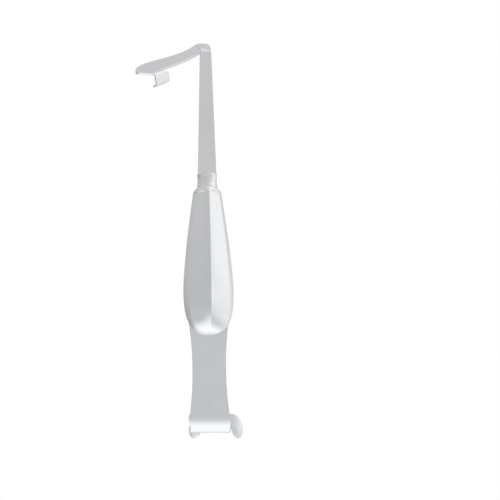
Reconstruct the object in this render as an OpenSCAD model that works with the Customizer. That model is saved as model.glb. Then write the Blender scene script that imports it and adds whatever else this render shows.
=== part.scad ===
// Double-ended cheek retractor: an angled spatula arm with a clip above a hollow drop-shaped handle, and a
// waisted blade with a hooked, two-lobed toe below it. All steel. Millimetres. +Z runs up the shaft to the
// arm, +X is to the side away from the arm, and the ridge of the grip faces -Y. The origin is the centre of
// the grip, on the plane where its two shells meet.

/* [Strip] */
// Thickness of the strip that both blades are cut from
strip_t = 1.5; // [1.2:0.1:1.8]

/* [Shaft and elbow] */
// Height of the line where the shaft starts to bend back
elbow_z = 112.8; // [95:0.2:125]
// Width of the shaft just under the elbow
shaft_top_w = 6; // [5.4:0.1:7]
// Width of the shaft where it stands on the collar
shaft_low_w = 9.8; // [9:0.1:10.4]
// Outer radius of the elbow
elbow_r = 3.5; // [3:0.1:5]

/* [Clip] */
// Thickness of the clip's sheet
clip_t = 0.9; // [0.7:0.1:1]
// Length of the clip's wall along the arm
clip_len = 10; // [8:0.2:12]
// Straight height of the clip's wall
clip_wall = 4.2; // [3.5:0.1:6]
// Straight length of the lip that turns back under the arm
clip_lip = 2.4; // [2:0.1:4]

/* [Grip] */
// Wall of the pressed shells
shell_t = 1.1; // [0.8:0.1:1.3]
// Width of the grip at its widest
grip_w = 27; // [24:0.5:30]
// Height of each shell's ridge above the parting plane at its tallest
ridge_h = 9.5; // [8:0.1:11]
// Height of the grip's upper end
grip_top_z = 39.8; // [36:0.2:44]
// Height of the widest point
grip_wide_z = -15.4; // [-18:0.2:-10]
// Height of the grip's lower end
grip_low_z = -39.5; // [-44:0.5:-38]

/* [Collar] */
// Radius of the collar's rims, and of the grip where it meets them
collar_r = 5.4; // [5.2:0.1:6]
// Height of the collar
collar_h = 7.4; // [6:0.2:9]

/* [Lower blade] */
// Half of the blade's width at its waist
waist_half_w = 8.9; // [8:0.1:10]
// Height of the waist
waist_z = -57; // [-60:1:-54]
// Height where the blade starts to bend back into the toe
toe_z = -81; // [-86:0.5:-78]
// Outer radius of the first toe bend
toe_r = 9; // [8:0.5:10]
// Outer radius of the second toe bend
curl_r = 5.5; // [5:0.5:7]
// Sideways offset of the two-lobed crosspiece from the blade's centre line
fork_x = 6.1; // [4:0.1:7]
// Radius that the crosspiece's lobes curl back on
lobe_curl = 11; // [10:0.5:14]

/* [Hidden] */
$fn = 64;
eps = 0.01;
steel = [0.78, 0.79, 0.80];
dark_steel = [0.62, 0.63, 0.65];

// Tangs inside the grip
collar_top_z = grip_top_z + collar_h;
tang_t = 1.3;
upper_tang_w = 6.4;
upper_tang_z = -4;
lower_tang_w = 12;
lower_tang_z = 22;
shoulder_z = -28;
slot_gap = 0.05;

// Rivets through the lapped tangs
rivet_r = 1.5;
rivet_gap = 0.02;
rivet_head_r = 2.5;
rivet_head_h = 1.1;
rivet_places = [4, 15];

// Arm plane: x along the shaft's cross direction, y up the bent strip, z out of the arm's upper face.
// Its angle to the shaft's line is that of a 3-4-5 triangle.
arm_lean = atan2(4, 3);
elbow_inner_r = elbow_r - strip_t;
arm_origin = [0, elbow_inner_r - elbow_r * cos(arm_lean), elbow_z + elbow_r * sin(arm_lean)];
relief = 0.4;

// Clip seat in the arm plane
clip_at = [-31.9, -31.1];
clip_turn = 38;
clip_seat_depth = 5;
clip_seat_len = 7;
clip_bend_r = 1.5;
clip_open_a = 70;
clip_lip_a = 60;

// Toe profile, in the plane across the blade
curl_c = [toe_r + 0.5, toe_z - toe_r + curl_r];
curl_wall_y = curl_c[0] + curl_r;
curl_top_z = -79.5;
tongue_half_w = 7;
toe_half_w = 11.1;
toe_low_half_w = 9.7;

// A cubic curve's points, without its first one
function curve(a, b, c, d, n = 10) = [for (i = [1:n]) let (t = i / n, u = 1 - t)
    u * u * u * a + 3 * u * u * t * b + 3 * u * t * t * c + t * t * t * d];

// A sheet standing in the X-Z plane, between y = back - t and y = back
module upright(t, back = 0) {
    translate([0, back, 0]) rotate([90, 0, 0]) linear_extrude(t) children();
}

// A flat sector of a ring, from angle 0 to a, centred on the origin
module ring_sector(r_in, r_out, a) {
    far = 3 * r_out;
    intersection() {
        difference() {
            circle(r_out);
            circle(r_in);
        }
        polygon([[0, 0], [far, 0], [far * cos(a / 2), far * sin(a / 2)] * 1.5, far * [cos(a), sin(a)]]);
    }
}

// ---- Upper blade

// Places its children in the arm plane
module in_arm_plane() {
    translate(arm_origin) rotate([90 - arm_lean, 0, 0]) children();
}

arm_far_edge = concat(
    curve([-3.4, 4.7], [-5.4, 3.6], [-6.6, 1.3], [-8.4, -0.9]),
    curve([-8.4, -0.9], [-12.5, -5.9], [-19, -10.4], [-26, -14.6]),
    curve([-26, -14.6], [-34, -19.2], [-41.2, -23.6], [-41.4, -29.4]));
arm_tip_edge = curve([-41.4, -29.4], [-41.5, -32.3], [-37.5, -32.4], [-32.6, -32.3], 8);
arm_near_edge = concat(
    curve([-32.6, -32.3], [-29.5, -30.2], [-27.6, -27.6], [-24.6, -25]),
    curve([-24.6, -25], [-18.2, -19.6], [-11.5, -14.8], [-3.4, -5.2]));

module arm_outline() {
    half = shaft_top_w / 2;
    polygon(concat([[half, 0], [half, 1.6]],
        curve([half, 1.6], [half, 4.4], [1.6, 5.3], [-1, 5.3], 8), [[-3.4, 4.7]],
        arm_far_edge, arm_tip_edge, arm_near_edge,
        [[-half - relief, 0], [-half, 0]]));
}

module arm() {
    in_arm_plane() difference() {
        translate([0, 0, -strip_t]) linear_extrude(strip_t) arm_outline();
        clip_frame() translate([-clip_seat_depth, 0, -strip_t - 1])
            cube([clip_seat_depth + 3, clip_seat_len, 1 + clip_t]);
    }
}

module elbow() {
    translate([0, elbow_inner_r, elbow_z]) rotate([0, 90, 0]) rotate([0, 0, 270 - arm_lean])
        rotate_extrude(angle = arm_lean)
            translate([elbow_inner_r, -shaft_top_w / 2]) square([strip_t, shaft_top_w]);
}

module shaft_outline() {
    polygon([[-shaft_top_w / 2, elbow_z], [shaft_top_w / 2, elbow_z],
        [shaft_low_w / 2, collar_top_z], [-shaft_low_w / 2, collar_top_z]]);
}

// A tang's outline from its free end, with cut corners, to the strip it belongs to
module tang_outline(width, free_z, strip_z, corner) {
    half = width / 2;
    in = free_z + sign(strip_z - free_z) * corner;
    polygon([[-half, strip_z], [-half, in], [corner - half, free_z], [half - corner, free_z],
        [half, in], [half, strip_z]]);
}

module upper_blade() {
    color(steel) difference() {
        union() {
            upright(strip_t) shaft_outline();
            upright(tang_t) tang_outline(upper_tang_w, upper_tang_z, collar_top_z + 1, 1);
            elbow();
            arm();
        }
        rivet_holes();
    }
}

// ---- Clip: x away from the arm's near edge, y along it, z out of the arm's upper face

module clip_frame() {
    translate([clip_at[0], clip_at[1], 0]) rotate([0, 0, clip_turn - 90]) children();
}

// The J seen along the arm: flange, bend, wall, bend, lip
module clip_profile() {
    inner = clip_bend_r - clip_t;
    translate([-clip_seat_depth, -strip_t]) square([clip_seat_depth + eps, clip_t]);
    translate([0, clip_t - strip_t - clip_bend_r]) {
        rotate(90 - clip_open_a) ring_sector(inner, clip_bend_r, clip_open_a);
        rotate(-clip_open_a) {
            translate([-eps, inner]) square([clip_wall + 2 * eps, clip_t]);
            translate([clip_wall, 0]) {
                rotate(90 - clip_lip_a) ring_sector(inner, clip_bend_r, clip_lip_a);
                rotate(-clip_lip_a) translate([-eps, inner]) square([clip_lip, clip_t]);
            }
        }
    }
}

// The clip's T-shaped face: a short root under a wider wall with round corners
module clip_face() {
    r = 1.8;
    low = -12;
    top = -strip_t + 0.2;
    translate([0, -4]) square([clip_seat_len, 6]);
    translate([0, low]) square([clip_len - r, top - low]);
    translate([clip_len - r - eps, low]) square([r + eps, top - r - low]);
    translate([clip_len - r, top - r]) circle(r);
}

module arm_clip() {
    color(steel) in_arm_plane() clip_frame() intersection() {
        translate([0, clip_len, 0]) rotate([90, 0, 0]) linear_extrude(clip_len) clip_profile();
        translate([-2 * clip_seat_depth, 0, 0]) rotate([90, 0, 90]) linear_extrude(4 * clip_seat_depth) clip_face();
    }
}

// ---- Collar

module neck_collar() {
    waist = 0.35;
    rim = 1.2;
    spigot_r = collar_r - shell_t - 0.1;
    spigot_h = 6;
    color(steel) difference() {
        union() {
            translate([0, 0, grip_top_z]) rotate_extrude() polygon(concat([[0, 0], [collar_r, 0], [collar_r, rim]],
                curve([collar_r, rim], [collar_r - waist, rim + 0.8],
                    [collar_r - waist, collar_h - rim - 0.8], [collar_r, collar_h - rim], 8),
                [[collar_r, collar_h - 0.4], [collar_r - 0.4, collar_h], [0, collar_h]]));
            translate([0, 0, grip_top_z - spigot_h]) cylinder(r = spigot_r, h = spigot_h + eps);
        }
        translate([-upper_tang_w / 2 - slot_gap, -tang_t - slot_gap, grip_top_z - spigot_h - 1])
            cube([upper_tang_w + 2 * slot_gap, tang_t + 2 * slot_gap, collar_h + spigot_h + 2]);
    }
}

// ---- Grip shells

// Places across a shell, from one rim over the ridge to the other
half_places = [0, 0.16, 0.32, 0.48, 0.64, 0.74, 0.8, 0.86, 0.92, 0.97, 1];
places = concat([for (i = [10:-1:1]) -half_places[i]], half_places);
side_crease = 0.8;
side_crease_h = 0.34;

low_len = grip_wide_z - grip_low_z;
high_len = grip_top_z - grip_wide_z;
rim_cap = [2.6, 1 / 2.6];
ridge_cap = [3.2, 0.8];
neck_len = 2.6;

function smooth(t) = let (u = max(0, min(1, t))) u * u * (3 - 2 * u);
function mix(a, b, t) = a + (b - a) * t;
// The end cap's curve: 1 at the widest point and 0 at the lower end
function cap(t, powers) = pow(1 - pow(t, powers[0]), powers[1]);

// One station: height, half width, ridge height and how round the section is (0 faceted, 1 round)
function station_low(t, wall) = [grip_wide_z - t * (low_len - wall), cap(t, rim_cap) * (grip_w / 2 - wall),
    cap(t, ridge_cap) * (ridge_h - wall), smooth((t - 0.5) / 0.5)];
function station_high(z, wall) = let (s = (z - grip_wide_z) / high_len, n = (z - grip_top_z) / neck_len + 1,
        k = max(0, min(1, n)), w = grip_w / 2 - 6.4 * pow(s, 1.4), h = ridge_h - 3 * pow(s, 1.6))
    [z, mix(w, collar_r, k) - wall, mix(h, collar_r, k) - wall, smooth((s - 0.82) / 0.18)];

// Height over the parting plane at place u of a section
function section(u, round) = let (a = abs(u),
        flat = a < side_crease ? 1 - (1 - side_crease_h) * a / side_crease
            : side_crease_h * (1 - a) / (1 - side_crease))
    mix(flat, sqrt(max(0, 1 - u * u)), round);
function ring(s) = [for (u = places) [u * s[1], -s[2] * section(u, s[3]), s[0]]];

high_zs = concat([grip_top_z, grip_top_z - neck_len / 2],
    [for (i = [0:17]) mix(grip_top_z - neck_len, grip_wide_z, i / 17)]);
low_ts = [for (i = [1:15]) sin(i / 15 * 86)];

function stations(wall) = concat([for (z = high_zs) station_high(z, wall)],
    [for (t = low_ts) station_low(t, wall)]);

// A half shell bulging towards -Y, open at the top and along the parting plane
module half_shell() {
    rows = len(high_zs) + len(low_ts);
    cols = len(places);
    inner = rows * cols;
    last = (rows - 1) * cols;
    points = concat([for (s = stations(0)) each ring(s)], [for (s = stations(shell_t)) each ring(s)]);
    skin = [for (i = [0:rows - 2], j = [0:cols - 2]) let (a = i * cols + j, b = a + cols) each
        [[a, b, b + 1], [a, b + 1, a + 1],
         [inner + a, inner + b + 1, inner + b], [inner + a, inner + a + 1, inner + b + 1]]];
    rim = [for (i = [0:rows - 2]) let (a = i * cols, b = a + cols, c = a + cols - 1, d = b + cols - 1) each
        [[a, inner + a, inner + b], [a, inner + b, b], [c, d, inner + d], [c, inner + d, inner + c]]];
    neck = [for (j = [0:cols - 2]) each [[j, j + 1, inner + j + 1], [j, inner + j + 1, inner + j]]];
    foot = [[for (j = [0:cols - 1]) last + j], [for (j = [cols - 1:-1:0]) inner + last + j],
        [last, inner + last, inner + last + cols - 1], [last, inner + last + cols - 1, last + cols - 1]];
    polyhedron(points, concat(skin, rim, neck, foot));
}

module handle_front_shell() {
    color(steel) half_shell();
}

module handle_back_shell() {
    color(steel) difference() {
        mirror([0, 1, 0]) half_shell();
        upright(strip_t + 1, strip_t) blade_outline();
    }
}

// ---- Rivets through the lapped tangs

module rivet_holes() {
    for (z = rivet_places) translate([0, 0, z]) rotate([90, 0, 0])
        cylinder(r = rivet_r + rivet_gap, h = 6 * strip_t, center = true);
}

module rivet_head() {
    crown = (rivet_head_r * rivet_head_r + rivet_head_h * rivet_head_h) / (2 * rivet_head_h);
    rotate_extrude() intersection() {
        translate([0, rivet_head_h - crown]) circle(crown);
        square([rivet_head_r, rivet_head_h]);
    }
}

module tang_rivets() {
    color(dark_steel) for (z = rivet_places) translate([0, 0, z]) {
        rotate([90, 0, 0]) cylinder(r = rivet_r, h = 2 * tang_t, center = true);
        for (side = [-1, 1]) translate([0, side * tang_t, 0]) rotate([-90 * side, 0, 0]) rivet_head();
    }
}

// ---- Lower blade

function blade_half_w(z) = waist_half_w + 1.6 * pow((z - waist_z) / 24, 2);

// The plate's outline below the shoulders, from the grip down past the toe bend
module blade_outline() {
    heights = [for (i = [0:20]) mix(shoulder_z, toe_z, i / 20)];
    low_z = toe_z - toe_r - 1;
    polygon(concat([for (z = heights) [blade_half_w(z), z]],
        [[toe_half_w, toe_z - 4], [toe_half_w, low_z], [-toe_low_half_w, low_z],
            [-toe_low_half_w, toe_z - toe_r], [-toe_half_w, toe_z - 3]],
        [for (i = [20:-1:0]) [-blade_half_w(heights[i]), heights[i]]]));
}

// The hook's section across the blade: x is depth, y is height
module toe_profile() {
    translate([0, toe_z]) square([strip_t, shoulder_z - toe_z]);
    translate([toe_r, toe_z]) rotate(180) ring_sector(toe_r - strip_t, toe_r, 90);
    translate([toe_r - eps, toe_z - toe_r]) square([curl_c[0] - toe_r + 2 * eps, strip_t]);
    translate(curl_c) rotate(270) ring_sector(curl_r - strip_t, curl_r, 90);
    translate([curl_wall_y - strip_t, curl_c[1] - eps]) square([strip_t, curl_top_z - curl_c[1] + eps]);
}

// The tongue behind the first bend, seen from below
module tongue_plan() {
    left = fork_x - tongue_half_w;
    right = fork_x + tongue_half_w;
    deep = curl_wall_y + 1;
    polygon(concat([[-toe_low_half_w, toe_r], [toe_half_w, toe_r]],
        curve([toe_half_w, toe_r], [toe_half_w, toe_r + 1.5], [right, toe_r + 1], [right, toe_r + 3], 6),
        [[right, deep], [left, deep], [left, toe_r + 5]],
        curve([left, toe_r + 5], [left, toe_r + 1.5], [left - 2, toe_r + 0.8], [-toe_low_half_w, toe_r + 0.6], 8)));
}

module toe_sheet() {
    width = 4 * toe_half_w;
    intersection() {
        translate([-width / 2, 0, 0]) rotate([90, 0, 90]) linear_extrude(width) toe_profile();
        union() {
            translate([0, 0, -100]) linear_extrude(curl_top_z + 100) tongue_plan();
            upright(toe_r + 1 + eps, toe_r + eps) blade_outline();
        }
    }
}

module lower_blade() {
    color(steel) difference() {
        union() {
            toe_sheet();
            upright(tang_t, tang_t) tang_outline(lower_tang_w, lower_tang_z, shoulder_z - 1, 2);
        }
        rivet_holes();
    }
}

// ---- Crosspiece on the toe: two dished lobes that hang beside the tongue and curl back

lobe = concat([[8.4, -79]],
    curve([8.4, -79], [12, -79.6], [13.2, -81.8], [13.9, -84], 8),
    curve([13.9, -84], [14.9, -86.6], [15, -88.8], [13.8, -90.7], 8),
    curve([13.8, -90.7], [12.6, -92.7], [11, -92.6], [9.6, -90.9], 8),
    curve([9.6, -90.9], [8, -88.8], [8.2, -86.4], [6, -84.6], 8));
dish_z = -86;

module fork_outline() {
    polygon(concat(lobe, [for (i = [len(lobe) - 1:-1:0]) [-lobe[i][0], lobe[i][1]]]));
}

// A quarter of a thimble: a round wall that closes into a round bottom below dish_z
module lobe_sheet(height) {
    translate([tongue_half_w, curl_wall_y + lobe_curl, dish_z]) rotate([0, 0, -90]) rotate_extrude(angle = 90) {
        rotate(270) ring_sector(lobe_curl - strip_t, lobe_curl, 90);
        translate([lobe_curl - strip_t, 0]) square([strip_t, height]);
    }
}

module fork_sheet() {
    height = 10;
    translate([-tongue_half_w, curl_wall_y, dish_z]) cube([2 * tongue_half_w, strip_t, height]);
    for (side = [0, 1]) mirror([side, 0, 0]) lobe_sheet(height);
}

module toe_fork() {
    color(steel) translate([fork_x, 0, 0]) intersection() {
        fork_sheet();
        upright(lobe_curl, curl_wall_y + lobe_curl) fork_outline();
    }
}

upper_blade();
arm_clip();
neck_collar();
handle_front_shell();
handle_back_shell();
tang_rivets();
lower_blade();
toe_fork();
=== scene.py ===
"""A double-ended cheek retractor in satin steel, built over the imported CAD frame."""

import math

import bmesh
import bpy
from mathutils import Matrix, Quaternion, Vector


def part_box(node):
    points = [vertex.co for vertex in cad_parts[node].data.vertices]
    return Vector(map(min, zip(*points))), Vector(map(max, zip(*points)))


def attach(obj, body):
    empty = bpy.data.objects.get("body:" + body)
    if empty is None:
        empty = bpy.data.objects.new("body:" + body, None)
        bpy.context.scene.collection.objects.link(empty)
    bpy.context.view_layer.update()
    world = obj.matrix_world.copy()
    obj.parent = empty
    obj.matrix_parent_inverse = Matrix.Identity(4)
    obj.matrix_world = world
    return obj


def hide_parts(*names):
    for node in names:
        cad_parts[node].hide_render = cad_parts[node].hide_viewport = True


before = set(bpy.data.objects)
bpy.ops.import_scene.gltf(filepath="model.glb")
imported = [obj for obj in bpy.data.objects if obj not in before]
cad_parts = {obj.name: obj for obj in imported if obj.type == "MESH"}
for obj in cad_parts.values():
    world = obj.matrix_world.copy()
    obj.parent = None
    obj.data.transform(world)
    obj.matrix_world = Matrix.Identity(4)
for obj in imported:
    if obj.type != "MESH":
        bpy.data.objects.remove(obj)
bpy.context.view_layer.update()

# ---------------------------------------------------------------- sizes, in millimetres

MM = 0.001


def cad_box(node):
    """A CAD node's lowest and highest corner, in millimetres."""
    low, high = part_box(node)
    return low / MM, high / MM


blade_low, _ = cad_box("lower_blade")
_, collar_high = cad_box("neck_collar")
shell_low, shell_high = cad_box("handle_front_shell")
fork_low, fork_high = cad_box("toe_fork")

STRIP = 1.5  # thickness of the blades' strip
EDGE = 0.32  # rounding along the strip's edges
TANG = 1.3  # thickness of the tangs inside the grip
TANG_HALF = 3.2  # the upper tang's half width
TANG_END = -4.0  # height of its free end
TANG_CORNER = 1.0  # cut off the free end's corners
LOW_TANG_HALF = 6.0
LOW_TANG_END = 22.0
LOW_TANG_CORNER = 2.0
THIN_RUN = 0.1  # the strip thins to the tang over this length
CUT_NEAR = 0.02  # how far from the step in thickness the plate is cut
ELBOW_R = 3.5  # outer radius of the elbow's bend
ELBOW_Z = 112.8  # height at which the shaft starts to bend
LEAN = math.atan2(4, 3)  # between the shaft's line and the arm's plane
SHAFT_TOP = 3.0  # half widths of the shaft
SHAFT_LOW = 4.9
COLLAR_R = collar_high.x
COLLAR_TOP = collar_high.z
GRIP_TOP = shell_high.z
GRIP_LOW = shell_low.z
GRIP_HALF = shell_high.x
GRIP_WIDE = -15.4  # height of the grip's widest point
RIDGE = -shell_low.y
TOE_Z = -81.0  # height at which the toe starts to bend
TOE_R = 9.0  # outer radius of the toe's first bend
CURL_R = 5.5  # and of its second one
TOE_HALF = -blade_low.x
TOE_LOW_LEFT = 9.7  # the toe's reach to the left at the bottom of its bend
TONGUE_HALF = 7.0  # half width of the flat end behind the toe
FORK_X = (fork_low.x + fork_high.x) / 2


# ---------------------------------------------------------------- mesh helpers


def curve(a, b, c, d, n=12):
    """A cubic curve's points, without its first one."""
    points = []
    for i in range(1, n + 1):
        t = i / n
        u = 1 - t
        w = (u ** 3, 3 * u * u * t, 3 * u * t * t, t ** 3)
        points.append(tuple(sum(k * p[j] for k, p in zip(w, (a, b, c, d))) for j in (0, 1)))
    return points


def smooth(t):
    t = max(0.0, min(1.0, t))
    return t * t * (3 - 2 * t)


def mix(a, b, t):
    return a + (b - a) * t


def piece(name, bm, material, node, angle=40):
    """Turns a bmesh in millimetres into a piece that stands for a CAD node."""
    bmesh.ops.remove_doubles(bm, verts=bm.verts, dist=1e-4)
    bmesh.ops.recalc_face_normals(bm, faces=bm.faces)
    bm.transform(Matrix.Diagonal((MM, MM, MM, 1)))
    mesh = bpy.data.meshes.new(name)
    bm.to_mesh(mesh)
    bm.free()
    mesh.shade_smooth()
    obj = bpy.data.objects.new(name, mesh)
    bpy.context.collection.objects.link(obj)
    mesh.set_sharp_from_angle(angle=math.radians(angle))
    normals = obj.modifiers.new("Even faces", "WEIGHTED_NORMAL")
    normals.keep_sharp = True
    normals.weight = 80
    mesh.materials.append(material)
    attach(obj, "root")
    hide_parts(node)
    return obj


def blank(outline, thickness, rounding):
    """A flat plate with rounded edges: its upper face lies at z = 0 and its outline runs once round."""
    bm = bmesh.new()
    face = bm.faces.new([bm.verts.new((x, y, 0)) for x, y in outline])
    bm.normal_update()
    if face.normal.z < 0:
        face.normal_flip()
    out = bmesh.ops.extrude_face_region(bm, geom=[face])
    for v in out["geom"]:
        if isinstance(v, bmesh.types.BMVert):
            v.co.z = 0
    for v in face.verts:
        v.co.z = -thickness
    bmesh.ops.recalc_face_normals(bm, faces=bm.faces)
    rims = [e for e in bm.edges if abs(e.verts[0].co.z - e.verts[1].co.z) < 1e-6]
    bmesh.ops.bevel(bm, geom=rims, offset=rounding, offset_type="OFFSET", segments=3, profile=0.5,
                    affect="EDGES", clamp_overlap=True)
    return bm


def slice_rows(bm, axis, places, above=-1000):
    """Cuts the plate across, above a height, so that it can bend between the cuts."""
    normal = Vector((1, 0, 0)) if axis == 0 else Vector((0, 1, 0))
    for place in places:
        faces = [f for f in bm.faces if f.calc_center_median().y > above]
        geom = list({v for f in faces for v in f.verts}) + list({e for f in faces for e in f.edges}) + faces
        bmesh.ops.bisect_plane(bm, geom=geom, plane_co=normal * place, plane_no=normal, dist=1e-5)


def steps(start, end, size):
    n = max(1, round(abs(end - start) / size))
    return [mix(start, end, i / n) for i in range(n + 1)]


def ring_point(radius, a):
    """(x, y) at an angle on a circle, or on the ring that a function gives in place of a radius."""
    return radius(a) if callable(radius) else (radius * math.cos(a), radius * math.sin(a))


def lathe(profile, turns=96):
    """A closed profile of (radius, height) points turned about Z."""
    bm = bmesh.new()
    rings = []
    for i in range(turns):
        a = 2 * math.pi * i / turns
        rings.append([bm.verts.new((*ring_point(r, a), z)) for r, z in profile])
    n = len(profile)
    for i in range(turns):
        here, there = rings[i], rings[(i + 1) % turns]
        for j in range(n):
            k = (j + 1) % n
            bm.faces.new((here[j], there[j], there[k], here[k]))
    return bm


# ---------------------------------------------------------------- materials

CLOUD_SCALE = 90
BLAST_SCALE = 5200
CLOUD_SHARE = 0.45  # of the clouds in the steel's tone; the rest is grain
TONE_LOW, TONE_HIGH = 0.3, 0.7  # the range of tone that is spread out
ROUGH_SPREAD = 0.035  # the roughness strays this far either way
RELIEF_DEPTH = 0.00002  # metres
ALONG_STRIP = (1, 1, 0.03)  # the grain is drawn out along Z
ALL_WAYS = (1, 1, 1)


def nodes_of(name):
    material = bpy.data.materials.new(name)
    material.use_nodes = True
    tree = material.node_tree
    tree.nodes.clear()
    return material, tree


def link(tree, a, b):
    tree.links.new(a, b)


def satin_steel(name, dark, light, rough, grain_along, grain_scale, bump):
    """Steel with a fine directional grain, cloudy changes of roughness and a faint blasted surface."""
    material, tree = nodes_of(name)
    new = tree.nodes.new
    out = new("ShaderNodeOutputMaterial")
    shader = new("ShaderNodeBsdfPrincipled")
    link(tree, shader.outputs[0], out.inputs[0])
    shader.inputs["Metallic"].default_value = 1.0
    where = new("ShaderNodeTexCoord")

    stretch = new("ShaderNodeMapping")
    stretch.inputs["Scale"].default_value = grain_along
    link(tree, where.outputs["Object"], stretch.inputs["Vector"])
    grain = new("ShaderNodeTexNoise")
    grain.inputs["Scale"].default_value = grain_scale
    grain.inputs["Detail"].default_value = 4
    grain.inputs["Roughness"].default_value = 0.6
    link(tree, stretch.outputs[0], grain.inputs["Vector"])

    cloud = new("ShaderNodeTexNoise")
    cloud.inputs["Scale"].default_value = CLOUD_SCALE
    cloud.inputs["Detail"].default_value = 3
    link(tree, where.outputs["Object"], cloud.inputs["Vector"])

    blast = new("ShaderNodeTexNoise")
    blast.inputs["Scale"].default_value = BLAST_SCALE
    blast.inputs["Detail"].default_value = 2
    link(tree, where.outputs["Object"], blast.inputs["Vector"])

    colour = new("ShaderNodeValToRGB")
    colour.color_ramp.elements[0].position = TONE_LOW
    colour.color_ramp.elements[0].color = (*dark, 1)
    colour.color_ramp.elements[1].position = TONE_HIGH
    colour.color_ramp.elements[1].color = (*light, 1)
    both = new("ShaderNodeMath")
    both.operation = "MULTIPLY_ADD"
    both.inputs[1].default_value = CLOUD_SHARE
    link(tree, cloud.outputs[0], both.inputs[0])
    share = new("ShaderNodeMath")
    share.operation = "MULTIPLY"
    share.inputs[1].default_value = 1 - CLOUD_SHARE
    link(tree, grain.outputs[0], share.inputs[0])
    link(tree, share.outputs[0], both.inputs[2])
    link(tree, both.outputs[0], colour.inputs[0])
    link(tree, colour.outputs[0], shader.inputs["Base Color"])

    roughness = new("ShaderNodeMapRange")
    roughness.inputs["From Min"].default_value = TONE_LOW
    roughness.inputs["From Max"].default_value = TONE_HIGH
    roughness.inputs["To Min"].default_value = rough - ROUGH_SPREAD
    roughness.inputs["To Max"].default_value = rough + ROUGH_SPREAD
    link(tree, both.outputs[0], roughness.inputs["Value"])
    link(tree, roughness.outputs[0], shader.inputs["Roughness"])

    height = new("ShaderNodeMath")
    height.operation = "ADD"
    link(tree, grain.outputs[0], height.inputs[0])
    link(tree, blast.outputs[0], height.inputs[1])
    relief = new("ShaderNodeBump")
    relief.inputs["Strength"].default_value = bump
    relief.inputs["Distance"].default_value = RELIEF_DEPTH
    link(tree, height.outputs[0], relief.inputs["Height"])
    link(tree, relief.outputs[0], shader.inputs["Normal"])
    return material


BLADE = satin_steel("Blade steel", dark=(0.80, 0.81, 0.83), light=(0.86, 0.865, 0.875), rough=0.34,
                    grain_along=ALONG_STRIP, grain_scale=4200, bump=0.35)
GRIP = satin_steel("Grip steel", dark=(0.83, 0.835, 0.845), light=(0.89, 0.892, 0.90), rough=0.27,
                   grain_along=ALONG_STRIP, grain_scale=3600, bump=0.015)
RIVET = satin_steel("Rivet steel", dark=(0.50, 0.51, 0.53), light=(0.60, 0.61, 0.63), rough=0.42,
                    grain_along=ALL_WAYS, grain_scale=2500, bump=0.4)


# ---------------------------------------------------------------- upper blade

NEUTRAL = ELBOW_R - STRIP / 2
BEND_LEN = NEUTRAL * LEAN
ELBOW_Y = ELBOW_R - STRIP  # the bend's axis
SHAFT_END = COLLAR_TOP - ELBOW_Z - BEND_LEN  # along the strip, counted from the bend line
SLIT = -3.12  # the arm and the bent strip part here, below the bend line
SLIT_EDGE = -3.26  # the arm's side of it
SLIT_END = -0.5
SLIT_FLARE = 0.35  # further down the parting leans out, clear of the widening shaft
SLIT_FLARE_FROM = -4.5
DIP = 0.42  # how deep the elbow's face dips at the outer corner
DIP_MIDDLE, DIP_HALF = 0.6, 3.3  # where along the strip
DIP_START, DIP_LEAN, DIP_RUN = -2.3, 0.37, 4.5  # and how it comes in across it
BEND_STEP = 0.25


def in_arm_plane(p, q, n):
    """A point of the arm's plane: p across the shaft, q up the bent strip, n out of the upper face."""
    s, c = math.sin(LEAN), math.cos(LEAN)
    return Vector((p, ELBOW_Y - ELBOW_R * c + q * s - n * c, ELBOW_Z + ELBOW_R * s + q * c + n * s))


def along_shaft(p, q, n):
    """The same strip, bent down from the arm's plane into the shaft."""
    if q >= 0:
        return in_arm_plane(p, q, n)
    if q > -BEND_LEN:
        a = LEAN + q / NEUTRAL
        r = ELBOW_R + n
        return Vector((p, ELBOW_Y - r * math.cos(a), ELBOW_Z + r * math.sin(a)))
    z = ELBOW_Z + q + BEND_LEN
    thin = TANG / STRIP if z < COLLAR_TOP - THIN_RUN / 2 else 1.0
    return Vector((p, -(STRIP + n) * thin, z))


def elbow_dip(p, q):
    """The bend widens towards the outer corner: how far its face lies below the plain bend there."""
    along = 1 - min(1.0, abs(q - DIP_MIDDLE) / DIP_HALF) ** 2
    return DIP * along * along * smooth((p - DIP_START - DIP_LEAN * q) / DIP_RUN)


def upper_point(p, q, n):
    """A point of the flat plate, taken to the arm's plane on one side of the slit and bent on the other."""
    slit = SLIT + min(0.0, SLIT_FLARE * (q - SLIT_FLARE_FROM))
    if p < slit:
        return in_arm_plane(p, q, n)
    return along_shaft(p, q, n - elbow_dip(p, q))


def upper_tang():
    """From the shaft's left shoulder round the tang's free end to the right one."""
    free = TANG_END - ELBOW_Z - BEND_LEN
    right = [(TANG_HALF, SHAFT_END), (TANG_HALF, free + TANG_CORNER), (TANG_HALF - TANG_CORNER, free)]
    return [(-p, q) for p, q in right] + right[::-1]


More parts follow.
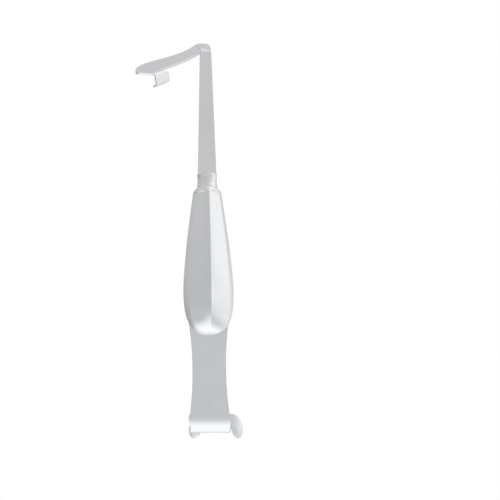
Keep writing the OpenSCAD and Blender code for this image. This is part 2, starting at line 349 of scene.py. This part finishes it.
def upper_outline():
    near = curve((-32.6, -32.3), (-29.5, -30.2), (-27.6, -27.6), (-24.6, -25), 14)
    near += curve((-24.6, -25), (-18.2, -19.6), (-11.5, -14.8), (-4.6, -6.5), 26)
    near += curve((-4.6, -6.5), (-3.8, -5.5), (SLIT_EDGE, -4.6), (SLIT_EDGE, -3.0), 8)
    near += [(SLIT_EDGE, SLIT_END)] + curve((SLIT_EDGE, SLIT_END), (SLIT_EDGE, -0.3),
                                            (-SHAFT_TOP, -0.3), (-SHAFT_TOP, SLIT_END), 4)
    near += [(-SHAFT_TOP, -BEND_LEN)]
    far = curve((-3.4, 4.7), (-5.4, 3.6), (-6.6, 1.3), (-8.4, -0.9), 14)
    far += curve((-8.4, -0.9), (-12.5, -5.9), (-19, -10.4), (-26, -14.6), 24)
    far += curve((-26, -14.6), (-34, -19.2), (-41.2, -23.6), (-41.4, -29.4), 24)
    tip = curve((-41.4, -29.4), (-41.5, -32.3), (-37.5, -32.4), (-32.6, -32.3), 18)
    corner = curve((SHAFT_TOP, 1.6), (SHAFT_TOP, 4.4), (1.6, 5.3), (-1, 5.3), 14)
    corner += curve((-1, 5.3), (-2, 5.3), (-2.8, 5.03), (-3.4, 4.7), 6)
    shaft = [(-SHAFT_LOW, SHAFT_END), *upper_tang(), (SHAFT_LOW, SHAFT_END), (SHAFT_TOP, -BEND_LEN)]
    return shaft + [(SHAFT_TOP, 1.6)] + corner + far + tip + near


def upper_blade():
    bm = blank(upper_outline(), STRIP, EDGE)
    slice_rows(bm, 1, [SHAFT_END - THIN_RUN, SHAFT_END + CUT_NEAR])
    slice_rows(bm, 1, steps(-BEND_LEN, 5.2, BEND_STEP))
    slice_rows(bm, 0, steps(-2.9, 2.9, 0.29), above=-BEND_LEN)
    for v in bm.verts:
        v.co = upper_point(*v.co)
    return piece("Shaft_and_arm", bm, BLADE, "upper_blade")


# ---------------------------------------------------------------- clip

CLIP_T = 0.9
CLIP_R = 1.5  # outer radius of its bends
CLIP_MID = CLIP_R - CLIP_T / 2
CLIP_AT = (-31.9, -31.1)  # one end of its seat, in the arm's plane
CLIP_TURN = math.radians(38)
CLIP_WALL = 4.2
CLIP_BENDS = ((0.0, 70), (CLIP_WALL, 60))  # straight run before each bend, and its angle in degrees
CLIP_LIP = 2.4
CLIP_ROOT, CLIP_WIDE = 7.0, 10.0  # along the arm's edge, at the seat and at the wall
CLIP_FLANGE = -5.0  # how far it reaches in under the arm
CLIP_EDGE = 0.2
CLIP_STEP = 0.15


def clip_path(s):
    """Depth, height and turn of the clip's outer face after a run of s from the arm's edge."""
    x, y, turn = 0.0, CLIP_T - STRIP, 0.0
    left = s
    for straight, degrees in CLIP_BENDS:
        run = min(left, straight) if left > 0 else left
        x, y = x + run * math.cos(turn), y - run * math.sin(turn)
        left -= run
        if left <= 0:
            return x, y, turn
        full = math.radians(degrees)
        part = min(left / CLIP_MID, full)
        cx, cy = x - CLIP_R * math.sin(turn), y - CLIP_R * math.cos(turn)
        turn += part
        x, y = cx + CLIP_R * math.sin(turn), cy + CLIP_R * math.cos(turn)
        left -= part * CLIP_MID
    return x + left * math.cos(turn), y - left * math.sin(turn), turn


def clip_point(s, along, n):
    """A point of the clip: s round its J, along the arm's edge, n out of its outer face."""
    x, y, turn = clip_path(s)
    x, y = x + n * math.sin(turn), y + n * math.cos(turn)
    across = (math.sin(CLIP_TURN), -math.cos(CLIP_TURN))
    way = (math.cos(CLIP_TURN), math.sin(CLIP_TURN))
    return in_arm_plane(CLIP_AT[0] + x * across[0] + along * way[0],
                        CLIP_AT[1] + x * across[1] + along * way[1], y)


def clip_outline(bends):
    """The clip laid flat: run round the J, and place along the arm's edge."""
    root, wide = CLIP_ROOT, CLIP_WIDE
    wall = bends[0] * 0.75
    end = sum(bends) + CLIP_WALL + CLIP_LIP
    outline = [(CLIP_FLANGE, 0), (end - 0.4, 0)]
    outline += curve((end - 0.4, 0), (end, 0), (end, 0), (end, 0.4), 5)
    outline += [(end, wide - 2.2)]
    outline += curve((end, wide - 2.2), (end, wide - 1), (end - 1, wide), (end - 2.2, wide), 8)
    outline += [(wall + 1.8, wide)]
    outline += curve((wall + 1.8, wide), (wall + 0.6, wide), (wall, wide - 0.6), (wall, wide - 1.8), 8)
    outline += [(wall, root + 0.4)]
    outline += curve((wall, root + 0.4), (wall, root), (wall, root), (wall - 0.4, root), 4)
    return outline + [(CLIP_FLANGE, root)]


def arm_clip():
    bends = [CLIP_MID * math.radians(degrees) for _, degrees in CLIP_BENDS]
    bm = blank(clip_outline(bends), CLIP_T, CLIP_EDGE)
    slice_rows(bm, 0, steps(0, bends[0], CLIP_STEP))
    slice_rows(bm, 0, steps(bends[0] + CLIP_WALL, sum(bends) + CLIP_WALL, CLIP_STEP))
    for v in bm.verts:
        v.co = clip_point(*v.co)
    return piece("Arm_clip", bm, BLADE, "arm_clip")


# ---------------------------------------------------------------- collar

SLOT_GAP = 0.05  # round the tang
SPIGOT = 6.0  # the collar's reach into the grip
SPIGOT_IN = 1.2  # how much thinner it is there
WAIST = 0.35  # how much thinner between the rims
TINY = 1e-6


def tang_slot(a):
    """The slot's edge round the upper tang, in the direction a from the slot's centre."""
    across, deep = TANG_HALF + SLOT_GAP, TANG / 2 + SLOT_GAP
    reach = min(across / max(abs(math.cos(a)), TINY), deep / max(abs(math.sin(a)), TINY))
    return reach * math.cos(a), reach * math.sin(a) - TANG / 2


def neck_collar():
    waist = COLLAR_R - WAIST
    inner = COLLAR_R - SPIGOT_IN
    top = COLLAR_TOP
    profile = [(tang_slot, GRIP_TOP - SPIGOT), (inner, GRIP_TOP - SPIGOT), (inner, GRIP_TOP)]
    profile += [(COLLAR_R - 0.06, GRIP_TOP), (COLLAR_R, GRIP_TOP + 0.1)]
    profile += [(COLLAR_R, GRIP_TOP + 1.0)]
    profile += curve((COLLAR_R, GRIP_TOP + 1.0), (waist, GRIP_TOP + 1.7),
                     (waist, top - 1.9), (COLLAR_R, top - 1.2), 20)
    profile += [(COLLAR_R, top - 0.45)]
    profile += curve((COLLAR_R, top - 0.45), (COLLAR_R, top - 0.2),
                     (COLLAR_R - 0.2, top), (COLLAR_R - 0.45, top), 5)
    profile += [(tang_slot, top)]
    return piece("Neck_collar", lathe(profile), GRIP, "neck_collar")


# ---------------------------------------------------------------- grip shells

SHELL_T = 1.1
CREASE = 0.8  # place of the soft second crease across a shell
RIDGE_SLOPES = (26, 33)  # degrees, at the ridge and where the facet has opened out
RIDGE_RUN = 0.4  # place where it has
RIM_SLOPES = (48, 58)  # past the crease, and at the rim
SLOPE_STEPS = 60
RIDGE_ROUNDING = 0.006
RIM_CAP = (2.6, 1 / 2.6)  # powers of the end cap's curve, at the rim
RIDGE_CAP = (3.2, 0.8)  # and at the ridge
TAPER, TAPER_POWER = 6.4, 1.4  # how much narrower the grip is at the neck
FALL, FALL_POWER = 3.0, 1.6  # and how much lower its ridge
NECK = 2.8  # length of the shoulder under the collar
NECK_ROWS, BODY_ROWS, CAP_ROWS = 14, 48, 44
BODY_CROWDING = 1.3  # rows crowd towards the neck
CAP_REACH = 87  # degrees of a quarter turn that the cap's rows cover
HOLLOW = 0.35  # depth of the hollow beside the ridge
HOLLOW_AT = 3.0  # its distance from the ridge
HOLLOW_Z = -19.0  # its middle height
HOLLOW_HALF = 15.0  # half its length


def facet_slope(x):
    """Slope of the section in degrees at place x: 0 at the ridge, 1 at the rim."""
    if x < CREASE:
        return mix(*RIDGE_SLOPES, smooth(x / RIDGE_RUN))
    return mix(*RIM_SLOPES, (x - CREASE) / (1 - CREASE))


def rise(start):
    """How far the section climbs from the rim to place start, over a half width of 1."""
    run = (1 - start) / SLOPE_STEPS
    middles = [start + (i + 0.5) * run for i in range(SLOPE_STEPS)]
    return sum(math.tan(math.radians(facet_slope(x))) * run for x in middles)


def section_places():
    """Places across half a section, closer together at the ridge, the crease and the rim."""
    ridge = [0.0, 0.012, 0.03]
    facet = [mix(0.06, 0.74, i / 17) for i in range(18)]
    crease = [0.77, 0.785, 0.8, 0.815, 0.83]
    rim = [0.86, 0.89, 0.92, 0.945, 0.965, 0.98, 0.99, 1.0]
    return ridge + facet + crease + rim


PLACES = section_places()
FACETS = [rise(u) / rise(0.0) for u in PLACES]  # heights over the parting plane, 1 at the ridge
FACETS[0] -= RIDGE_ROUNDING


def cap(t, powers):
    """The end cap's curve: 1 at the widest point and 0 at the lower end."""
    return max(0.0, 1 - t ** powers[0]) ** powers[1]


def station(t):
    """The grip's height, half width, ridge height and roundness at t: 0 at the neck, 1 at the widest,
    2 at the lower end."""
    if t > 1:
        k = t - 1
        return (mix(GRIP_WIDE, GRIP_LOW, k), cap(k, RIM_CAP) * GRIP_HALF, cap(k, RIDGE_CAP) * RIDGE,
                smooth((k - 0.5) / 0.5))
    z = mix(GRIP_TOP, GRIP_WIDE, t)
    s = (z - GRIP_WIDE) / (GRIP_TOP - GRIP_WIDE)
    w = GRIP_HALF - TAPER * s ** TAPER_POWER
    h = RIDGE - FALL * s ** FALL_POWER
    k = max(0.0, (z - GRIP_TOP) / NECK + 1)
    ease = k * k * (1.6 - 0.6 * k)
    return z, mix(w, COLLAR_R, ease), mix(h, COLLAR_R, ease), smooth((s - 0.935) / 0.05)


def hollow(x, z):
    """Depth of the shallow hollow that runs beside the ridge in the grip's lower half."""
    run = abs(x) / HOLLOW_AT
    along = max(0.0, 1 - ((z - HOLLOW_Z) / HOLLOW_HALF) ** 2)
    return HOLLOW * along * along * run * math.exp(1 - run)


def grip_rows():
    neck = NECK / (GRIP_TOP - GRIP_WIDE)
    rows = [neck * i / NECK_ROWS for i in range(NECK_ROWS)]
    rows += [mix(neck, 1, (i / BODY_ROWS) ** BODY_CROWDING) for i in range(BODY_ROWS)]
    return rows + [1 + math.sin(math.radians(i / CAP_ROWS * CAP_REACH)) for i in range(CAP_ROWS + 1)]


def walled_station(t, wall):
    """The station of a skin that lies a wall's thickness inside the grip's surface."""
    z, w, h, round_ = station(t)
    if t <= 1:
        return z, w - wall, h - wall, round_
    k = 1 - wall / GRIP_HALF
    return GRIP_WIDE + (z - GRIP_WIDE) * (1 - wall / (GRIP_WIDE - GRIP_LOW)), w * k, h * k, round_


def skin(bm, side, wall):
    """Rows of vertices from the neck to the lower end, each from one rim over the ridge to the other."""
    places = [-u for u in reversed(PLACES[1:])] + PLACES
    heights = FACETS[:0:-1] + FACETS
    rows = []
    for t in grip_rows():
        z, w, h, round_ = walled_station(t, wall)
        row = []
        for u, f in zip(places, heights):
            y = h * mix(f, math.sqrt(max(0.0, 1 - u * u)), round_)
            y = max(0.0, y - hollow(u * w, z) * (1 - abs(u)))
            row.append(bm.verts.new((u * w, side * y, z)))
        rows.append(row)
    return rows


def half_shell(side):
    """A closed half shell that bulges towards -Y for side -1 and +Y for side 1."""
    bm = bmesh.new()
    outer, inner = skin(bm, side, 0.0), skin(bm, side, SHELL_T)
    across = range(len(outer[0]) - 1)
    down = range(len(outer) - 1)
    for rows in (outer, inner):
        for i in down:
            for j in across:
                bm.faces.new((rows[i][j], rows[i + 1][j], rows[i + 1][j + 1], rows[i][j + 1]))
    for i in down:
        for j in (0, -1):
            bm.faces.new((outer[i][j], inner[i][j], inner[i + 1][j], outer[i + 1][j]))
    for j in across:
        bm.faces.new((outer[0][j], outer[0][j + 1], inner[0][j + 1], inner[0][j]))
    bm.faces.new(outer[-1])
    bm.faces.new(inner[-1])
    bm.faces.new((outer[-1][0], outer[-1][-1], inner[-1][-1], inner[-1][0]))
    return bm


def grip_shells():
    piece("Front_shell", half_shell(-1), GRIP, "handle_front_shell", angle=50)
    piece("Back_shell", half_shell(1), GRIP, "handle_back_shell", angle=50)


# ---------------------------------------------------------------- lower blade

TOE_MID = TOE_R - STRIP / 2
CURL_MID = CURL_R - STRIP / 2
TOE_BEND = TOE_MID * math.pi / 2
CURL_BEND = CURL_MID * math.pi / 2
TOE_FLAT = 0.5  # straight run between the bends
WALL_TOP = -79.5
WALL = WALL_TOP - (TOE_Z - TOE_R + CURL_R)  # height of the upright end behind the second bend
TOE_FOOT = TOE_Z - TOE_BEND  # end of the first bend, laid flat
BLADE_TOP = -28.0  # where the blade narrows to its tang, inside the grip
BLADE_WAIST, BLADE_WAIST_Z = 8.9, -57.0  # half width at the waist, and its height
BLADE_SPREAD, BLADE_SPREAD_RUN = 1.6, 24.0  # it is this much wider, this far from the waist
TONGUE_CORNER = 0.8
LOW_LEFT_CORNER = 0.6


def blade_half(z):
    return BLADE_WAIST + BLADE_SPREAD * ((z - BLADE_WAIST_Z) / BLADE_SPREAD_RUN) ** 2


def toe_point(x, s, n):
    """The blade's sheet rolled into its hook: s runs down the front face, n is out of that face."""
    if s > TOE_Z:
        thin = TANG / STRIP if s > BLADE_TOP + THIN_RUN / 2 else 1.0
        return Vector((x, -n * thin, s))
    s = TOE_Z - s
    if s < TOE_BEND:
        a = s / TOE_MID
        r = TOE_R + n
        return Vector((x, TOE_R - r * math.cos(a), TOE_Z - r * math.sin(a)))
    s -= TOE_BEND
    if s < TOE_FLAT:
        return Vector((x, TOE_R + s, TOE_Z - TOE_R - n))
    s -= TOE_FLAT
    y, z = TOE_R + TOE_FLAT, TOE_Z - TOE_R + CURL_R
    if s < CURL_BEND:
        a = s / CURL_MID
        r = CURL_R + n
        return Vector((x, y + r * math.sin(a), z - r * math.cos(a)))
    return Vector((x, y + CURL_R + n, z + s - CURL_BEND))


def tongue_outline():
    """Right to left: from the foot of the toe's right side, round the narrower end, to that of its left."""
    flat, cut = TOE_FOOT, TONGUE_CORNER
    end = flat - TOE_FLAT - CURL_BEND - WALL
    left, right = FORK_X - TONGUE_HALF, FORK_X + TONGUE_HALF
    low, low_cut = -TOE_LOW_LEFT, LOW_LEFT_CORNER
    outline = curve((TOE_HALF, flat), (TOE_HALF, flat - 2), (right, flat - 2), (right, flat - 5), 12)
    outline += [(right, end + cut)]
    outline += curve((right, end + cut), (right, end), (right, end), (right - cut, end), 5)
    outline += [(left + cut, end)]
    outline += curve((left + cut, end), (left, end), (left, end), (left, end + cut), 5)
    outline += [(left, flat - 5)]
    outline += curve((left, flat - 5), (left, flat - 1.6), (left - 2, flat - 0.8),
                     (low + low_cut, flat - low_cut), 12)
    outline += curve((low + low_cut, flat - low_cut), (low, flat - low_cut), (low, flat - 0.4),
                     (low, flat), 4)
    return outline


def tapered_side(rows=10):
    """The bend's left side from its foot up, drawn in towards the bottom."""
    side = []
    for i in range(rows, 0, -1):
        run = i / rows * TOE_BEND
        drawn = smooth((TOE_R * math.sin(run / TOE_MID) - 3) / 6)
        side.append((mix(-TOE_HALF, -TOE_LOW_LEFT, drawn), TOE_Z - run))
    return side


def blade_outline(rows=30):
    side = [(LOW_TANG_HALF - LOW_TANG_CORNER, LOW_TANG_END),
            (LOW_TANG_HALF, LOW_TANG_END - LOW_TANG_CORNER), (LOW_TANG_HALF, BLADE_TOP)]
    heights = [mix(BLADE_TOP, TOE_Z, i / rows) for i in range(rows + 1)]
    side += [(blade_half(z), z) for z in heights]
    toe = [(TOE_HALF, TOE_Z - 4), (TOE_HALF, TOE_FOOT)]
    return side + toe + tongue_outline() + tapered_side() + [(-x, z) for x, z in reversed(side)]


def lower_blade():
    bm = blank(blade_outline(), STRIP, EDGE)
    curl = TOE_FOOT - TOE_FLAT
    slice_rows(bm, 1, steps(TOE_Z, TOE_FOOT, 0.5) + steps(curl, curl - CURL_BEND, 0.4))
    slice_rows(bm, 1, [BLADE_TOP - CUT_NEAR, BLADE_TOP + THIN_RUN])
    for v in bm.verts:
        v.co = toe_point(*v.co)
    return piece("Lower_blade", bm, BLADE, "lower_blade")


# ---------------------------------------------------------------- toe crosspiece

LOBE_CURL = 11.0  # radius that the lobes curl back on
DISH_Z = -86.0  # below this they curl downwards too
LOBE_STEP = 0.4


def fork_point(u, z, n):
    """The crosspiece: flat across the tongue, each lobe curling back sideways and below DISH_Z."""
    side = max(abs(u) - TONGUE_HALF, 0.0) * (1 if u > 0 else -1)
    down = min(z - DISH_Z, 0.0)
    reach = math.hypot(side, down)
    if reach < TINY:
        return Vector((FORK_X + u, fork_low.y - n, z))
    a = math.asin(min(0.99, reach / LOBE_CURL))
    out = n * math.sin(a) / reach
    y = fork_low.y + LOBE_CURL * (1 - math.cos(a)) - n * math.cos(a)
    return Vector((FORK_X + u + side * out, y, z + down * out))


def toe_fork():
    lobe = [(8.4, -79)]
    lobe += curve((8.4, -79), (12, -79.6), (13.2, -81.8), (13.9, -84), 14)
    lobe += curve((13.9, -84), (14.9, -86.6), (15, -88.8), (13.8, -90.7), 14)
    lobe += curve((13.8, -90.7), (12.6, -92.7), (11, -92.6), (9.6, -90.9), 14)
    lobe += curve((9.6, -90.9), (8, -88.8), (8.2, -86.4), (6, -84.6), 14)
    bm = blank(lobe + [(-u, z) for u, z in reversed(lobe)], STRIP, EDGE)
    slice_rows(bm, 0, steps(-15, -TONGUE_HALF, LOBE_STEP) + steps(TONGUE_HALF, 15, LOBE_STEP))
    slice_rows(bm, 1, steps(-93, DISH_Z, LOBE_STEP))
    for v in bm.verts:
        v.co = fork_point(*v.co)
    return piece("Toe_crosspiece", bm, BLADE, "toe_fork")


# ---------------------------------------------------------------- stage, light and camera

VIEW_AZ = math.radians(-10)  # from the front, towards the right
VIEW_EL = math.radians(-9)
ROLL = math.radians(-0.83)
DISTANCE = 3.0  # metres from the grip's centre
FRAME_WIDTH = 0.265  # metres across the frame at that distance
ASIDE = 0.0223  # how far the line of sight passes right of the grip's centre
ABOVE = 0.0060  # and above it
SENSOR = 36.0  # millimetres
FLOOR_Z = -0.8  # metres, far enough down to stay out of the light
FLOOR_R = 6.0


def glow_towards(tree, where, direction, power, strength):
    """A soft glow round one direction: strength times the cosine to that power."""
    new = tree.nodes.new
    dot = new("ShaderNodeVectorMath")
    dot.operation = "DOT_PRODUCT"
    dot.inputs[1].default_value = Vector(direction).normalized()
    link(tree, where, dot.inputs[0])
    clip = new("ShaderNodeMath")
    clip.operation = "MAXIMUM"
    clip.inputs[1].default_value = 0.0
    link(tree, dot.outputs["Value"], clip.inputs[0])
    sharp = new("ShaderNodeMath")
    sharp.operation = "POWER"
    sharp.inputs[1].default_value = power
    link(tree, clip.outputs[0], sharp.inputs[0])
    scaled = new("ShaderNodeMath")
    scaled.operation = "MULTIPLY"
    scaled.inputs[1].default_value = strength
    link(tree, sharp.outputs[0], scaled.inputs[0])
    return scaled.outputs[0]


AMBIENT = 0.65  # an evenly lit white room
BROAD = 8  # how tightly a glow gathers round its direction
GLOWS = (  # azimuth from the front, towards the right, and elevation in degrees, and strength
    (85, 0, 0.4),  # softbox at the right
    (60, 45, 0.6),  # lamp above, to the right
    (-40, -50, 0.5),  # white table in front, to the left
    (60, -75, 0.6),  # below
    (150, -45, 0.7),  # and behind
    (-40, 0, -0.1),  # dark room in front, to the left
    (-110, -15, -0.3),  # and at the left, behind
)


def towards(az, el):
    """The direction at an azimuth and an elevation in radians."""
    return math.sin(az) * math.cos(el), -math.cos(az) * math.cos(el), math.sin(el)


def studio():
    world = bpy.data.worlds.new("Studio")
    bpy.context.scene.world = world
    world.use_nodes = True
    tree = world.node_tree
    tree.nodes.clear()
    new = tree.nodes.new
    where = new("ShaderNodeTexCoord").outputs["Generated"]
    total = None
    for azimuth, elevation, strength in GLOWS:
        direction = towards(math.radians(azimuth), math.radians(elevation))
        glow = glow_towards(tree, where, direction, BROAD, strength)
        add = new("ShaderNodeMath")
        add.operation = "ADD"
        if total is None:
            add.inputs[0].default_value = AMBIENT
        else:
            link(tree, total, add.inputs[0])
        link(tree, glow, add.inputs[1])
        total = add.outputs[0]
    light = new("ShaderNodeBackground")
    light.inputs["Color"].default_value = (0.985, 0.992, 1.0, 1)
    link(tree, total, light.inputs["Strength"])
    paper = new("ShaderNodeBackground")
    paper.inputs["Color"].default_value = (1, 1, 1, 1)
    seen = new("ShaderNodeLightPath")
    which = new("ShaderNodeMixShader")
    link(tree, seen.outputs["Is Camera Ray"], which.inputs[0])
    link(tree, light.outputs[0], which.inputs[1])
    link(tree, paper.outputs[0], which.inputs[2])
    out = new("ShaderNodeOutputWorld")
    link(tree, which.outputs[0], out.inputs[0])


def camera():
    back = Vector(towards(VIEW_AZ, VIEW_EL))
    data = bpy.data.cameras.new("Camera")
    data.sensor_width = SENSOR
    data.lens = SENSOR * DISTANCE / FRAME_WIDTH
    data.clip_start = 0.1
    data.clip_end = 20
    cam = bpy.data.objects.new("Camera", data)
    turn = back.to_track_quat("Z", "Y")
    cam.location = back * DISTANCE + turn @ Vector((ASIDE, ABOVE, 0))
    cam.rotation_euler = (turn @ Quaternion((0, 0, 1), ROLL)).to_euler()
    bpy.context.collection.objects.link(cam)
    bpy.context.scene.camera = cam


def floor():
    bm = bmesh.new()
    bmesh.ops.create_circle(bm, cap_ends=True, segments=96, radius=FLOOR_R)
    mesh = bpy.data.meshes.new("Floor")
    bm.to_mesh(mesh)
    bm.free()
    obj = bpy.data.objects.new("Floor", mesh)
    obj.location = (0, 0, FLOOR_Z)
    # the steel mirrors the studio's light rather than the floor's edge
    obj.visible_glossy = False
    bpy.context.collection.objects.link(obj)
    material, tree = nodes_of("Pale floor")
    shader = tree.nodes.new("ShaderNodeBsdfPrincipled")
    shader.inputs["Base Color"].default_value = (0.85, 0.85, 0.85, 1)
    shader.inputs["Roughness"].default_value = 0.8
    shader.inputs["Emission Color"].default_value = (1, 1, 1, 1)
    shader.inputs["Emission Strength"].default_value = 0.6
    out = tree.nodes.new("ShaderNodeOutputMaterial")
    link(tree, shader.outputs[0], out.inputs[0])
    mesh.materials.append(material)


bpy.context.scene.view_settings.view_transform = "Standard"
camera()
studio()
floor()
upper_blade()
arm_clip()
neck_collar()
grip_shells()
lower_blade()
toe_fork()
for slot in bpy.data.objects["tang_rivets"].material_slots:
    slot.material = RIVET
